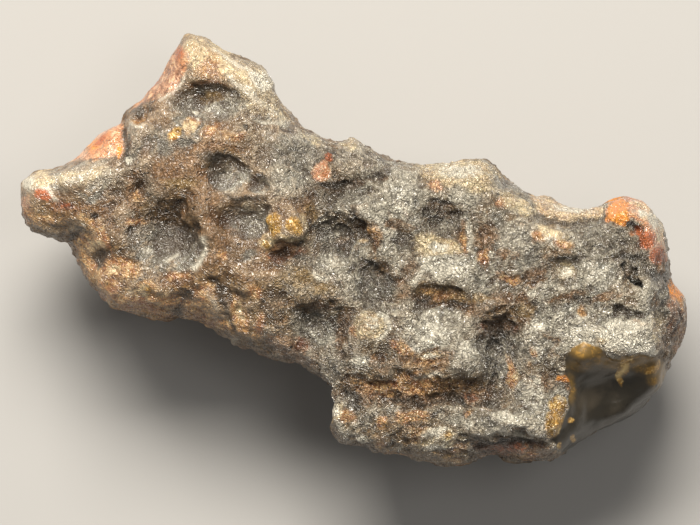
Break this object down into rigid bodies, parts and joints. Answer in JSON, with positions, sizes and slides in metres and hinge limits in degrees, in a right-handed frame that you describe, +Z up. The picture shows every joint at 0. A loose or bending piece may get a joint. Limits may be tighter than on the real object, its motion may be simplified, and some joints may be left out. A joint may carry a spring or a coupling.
{
  "type": "agate nodule",
  "caption": "Rough agate nodule: one knobby stone with a dimpled, dark glossy crust, worn tan and orange high points and a chipped glassy window.",
  "frame": {"origin": "on the plane the stone rests on, under the middle of its bounding box", "axes": "+X along the stone, from the small knob to the end with the polished cap; +Y towards the horn; +Z up, out of the dimpled face"},
  "size_m": [0.076, 0.0494, 0.0292],
  "materials": {
    "rind": "gloss"
  },
  "bodies": {
    "root": {"agate_nodule": "rind"}
  },
  "joints": []
}
